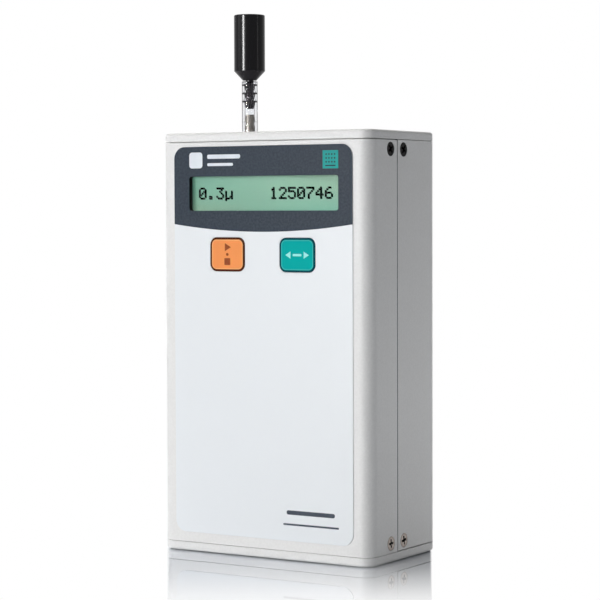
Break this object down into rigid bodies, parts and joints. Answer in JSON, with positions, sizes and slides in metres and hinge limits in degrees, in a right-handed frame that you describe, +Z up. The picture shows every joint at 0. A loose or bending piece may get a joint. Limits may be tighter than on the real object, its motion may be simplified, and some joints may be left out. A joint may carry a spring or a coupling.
{
  "type": "airborne particle counter",
  "caption": "Handheld airborne particle counter: tall white metal case, dark display band, orange and teal keys, black sampling probe on a short clear tube.",
  "frame": {"origin": "centre of the face that the case stands on", "axes": "+Z up, the display and keys face -Y, +X to the right of someone facing them"},
  "size_m": [0.0922, 0.0512, 0.2045],
  "materials": {
    "case_coat": "off-white fine powder coat",
    "screw_steel": "plain steel",
    "overlay_film": "printed polyester film, satin",
    "key_orange": "printed key cap",
    "key_teal": "printed key cap",
    "black_plastic": "moulded black plastic",
    "clear_lens": "clear acrylic",
    "display_green": "reflective green display glass",
    "backlight_white": "diffuser",
    "board_green": "solder mask",
    "bezel_steel": "black steel sheet",
    "inlet_metal": "dull plated brass",
    "clear_tube": "clear vinyl tube",
    "probe_black": "polished black",
    "sensor_black": "black anodised",
    "mirror_coat": "polished",
    "laser_brass": "turned",
    "pump_metal": "machined",
    "vane_carbon": "carbon",
    "motor_steel": "plated can",
    "hose_rubber": "silicone",
    "filter_plastic": "welded filter housing",
    "cell_steel": "cell cans",
    "sleeve_blue": "shrink sleeve",
    "foam": "closed-cell foam",
    "trimmer_blue": "moulded"
  },
  "bodies": {
    "case": {"front_shell": "case_coat", "rear_shell": "case_coat", "top_cap": "case_coat", "bottom_cap": "case_coat", "shell_screws": "screw_steel", "overlay": "overlay_film", "key_switches": "black_plastic", "window_surround": "black_plastic", "window_lens": "clear_lens", "display_bezel": "bezel_steel", "display_glass": "display_green", "display_backlight": "backlight_white", "display_board": "board_green", "keypad_board": "board_green", "board_screws": "screw_steel", "main_board": "board_green", "board_parts": "black_plastic", "power_switch": "black_plastic", "charger_jack": "black_plastic", "flow_trimmer": "trimmer_blue", "inlet_nozzle": "inlet_metal", "inlet_tube": "clear_tube", "sampling_probe": "probe_black", "sensor_block": "sensor_black", "laser": "laser_brass", "beam_trap": "sensor_black", "collecting_mirror": "mirror_coat", "detector": "board_green", "sensor_screws": "screw_steel", "sensor_port": "inlet_metal", "pump_body": "pump_metal", "pump_cover": "pump_metal", "pump_motor": "motor_steel", "pump_bracket": "pump_metal", "pump_screws": "screw_steel", "sensor_hose": "hose_rubber", "exhaust_hose": "hose_rubber", "exhaust_filter": "filter_plastic", "filter_cradle": "black_plastic", "battery_cells": "cell_steel", "battery_sleeve": "sleeve_blue", "battery_pads": "foam", "battery_clamp": "pump_metal", "stud_nuts": "screw_steel"},
    "start_stop_key": {"start_stop_key": "key_orange", "start_stop_plunger": "black_plastic"},
    "select_key": {"select_key": "key_teal", "select_plunger": "black_plastic"},
    "power_knob": {"power_knob": "black_plastic"},
    "trimmer_rotor": {"trimmer_rotor": "laser_brass"},
    "pump_rotor": {"pump_rotor": "pump_metal", "pump_vanes": "vane_carbon"}
  },
  "joints": [
    {"name": "start_stop_press", "type": "slide", "parent": "case", "child": "start_stop_key", "axis": [0, 1, 0], "range_m": [0, 0.00035], "stiffness_N_per_m": 200},
    {"name": "select_press", "type": "slide", "parent": "case", "child": "select_key", "axis": [0, 1, 0], "range_m": [0, 0.00035], "stiffness_N_per_m": 200},
    {"name": "power_slide", "type": "slide", "parent": "case", "child": "power_knob", "axis": [0, 0, -1], "range_m": [0, 0.003]},
    {"name": "flow_trim", "type": "hinge", "parent": "case", "child": "trimmer_rotor", "pos_m": [-0.0409, -0.0148, 0.041], "axis": [-1, 0, 0], "range_deg": [-135, 135]},
    {"name": "pump_spin", "type": "hinge", "parent": "case", "child": "pump_rotor", "pos_m": [0.027, 0.008, 0.06], "axis": [0, 0, 1], "continuous": true}
  ]
}
